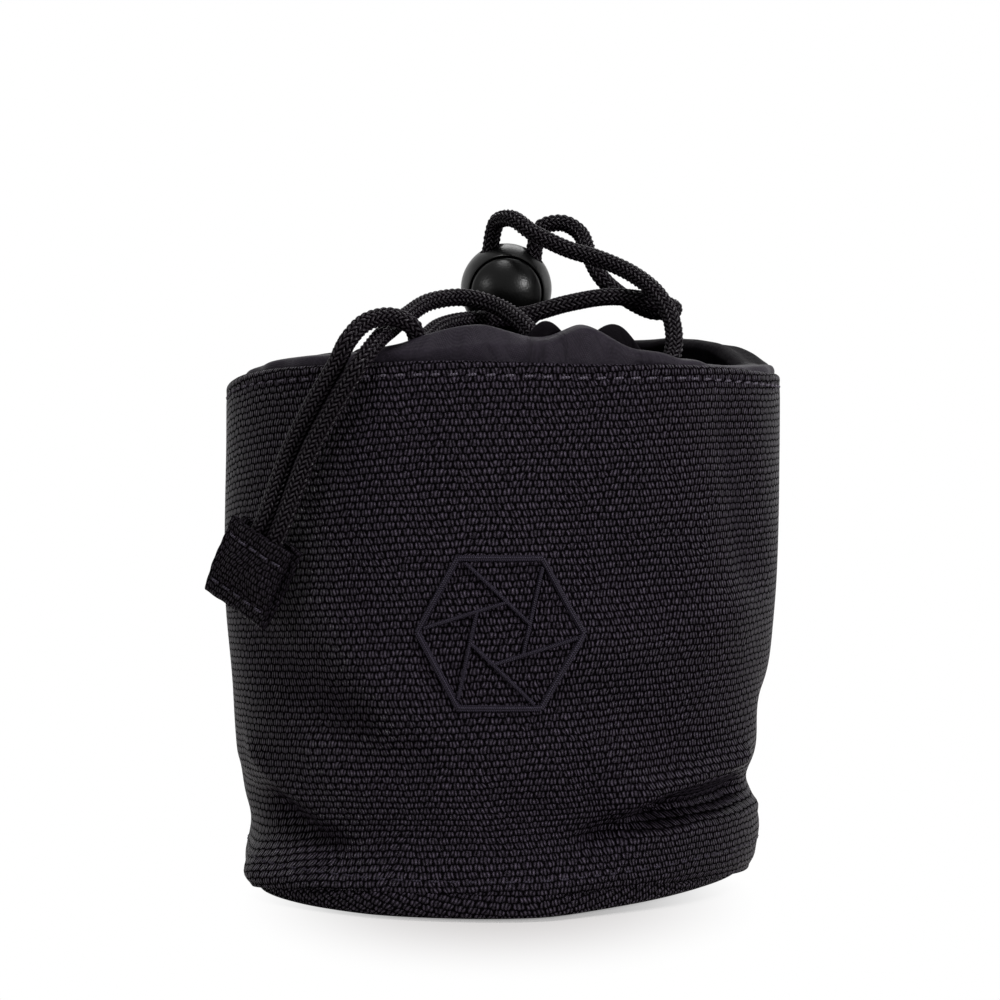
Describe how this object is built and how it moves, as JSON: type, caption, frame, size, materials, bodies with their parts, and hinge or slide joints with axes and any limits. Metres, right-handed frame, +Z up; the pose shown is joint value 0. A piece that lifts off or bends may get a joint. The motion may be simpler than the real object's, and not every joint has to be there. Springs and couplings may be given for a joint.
{
  "type": "drawstring lens pouch",
  "caption": "Padded round pouch of woven nylon with a gathered collar, a drawcord held by a sprung ball lock, and a sewn tab over the cord ends, for carrying a camera lens.",
  "frame": {"origin": "on the surface that the pouch stands on, under the middle of its base", "axes": "+Z up, -Y towards the side with the emblem, +X to the right seen from that side"},
  "size_m": [0.1066, 0.097, 0.125],
  "materials": {
    "ballistic_cloth": "black basket-weave ballistic nylon, coarse yarns with a faint sheen",
    "padding_foam": null,
    "smooth_nylon": "thin plain-weave black nylon with a satin sheen",
    "binding_tape": "ribbed black seam tape",
    "sewing_thread": "twisted black polyester thread",
    "cord_braid": "black round braided nylon cord",
    "lock_plastic": "black moulded nylon, satin to gloss",
    "spring_steel": "bright spring wire"
  },
  "bodies": {
    "pouch": {"outer_wall": "ballistic_cloth", "outer_base": "ballistic_cloth", "foam_wall": "padding_foam", "foam_base": "padding_foam", "lining_wall": "smooth_nylon", "lining_base": "smooth_nylon", "base_seam_binding": "binding_tape", "back_seam_binding": "binding_tape", "rim_stitching": "sewing_thread", "emblem_embroidery": "sewing_thread", "collar": "smooth_nylon", "cord_casing": "smooth_nylon", "casing_stitching": "sewing_thread", "drawcord_in_casing": "cord_braid", "drawcord_left": "cord_braid", "drawcord_right": "cord_braid"},
    "lock": {"lock_housing": "lock_plastic", "lock_spring": "spring_steel"},
    "button": {"lock_button": "lock_plastic"},
    "tail": {"tail_left": "cord_braid", "tail_right": "cord_braid", "end_tab": "ballistic_cloth", "tab_stitching_upper": "sewing_thread", "tab_stitching_lower": "sewing_thread"}
  },
  "joints": [
    {"name": "lock_slide", "type": "slide", "parent": "pouch", "child": "lock", "axis": [0.1564, -0.2389, 0.9583], "range_m": [-0.008, 0.002]},
    {"name": "button_press", "type": "slide", "parent": "lock", "child": "button", "axis": [0, 0.9703, 0.2419], "range_m": [0, 0.0026], "stiffness_N_per_m": 450, "springref_m": -0.003, "deforming": ["lock_spring"]},
    {"name": "tail_swing", "type": "hinge", "parent": "pouch", "child": "tail", "pos_m": [-0.02803, -0.04331, 0.0911], "axis": [-0.898, 0.4399, 0], "range_deg": [0, 100]}
  ]
}
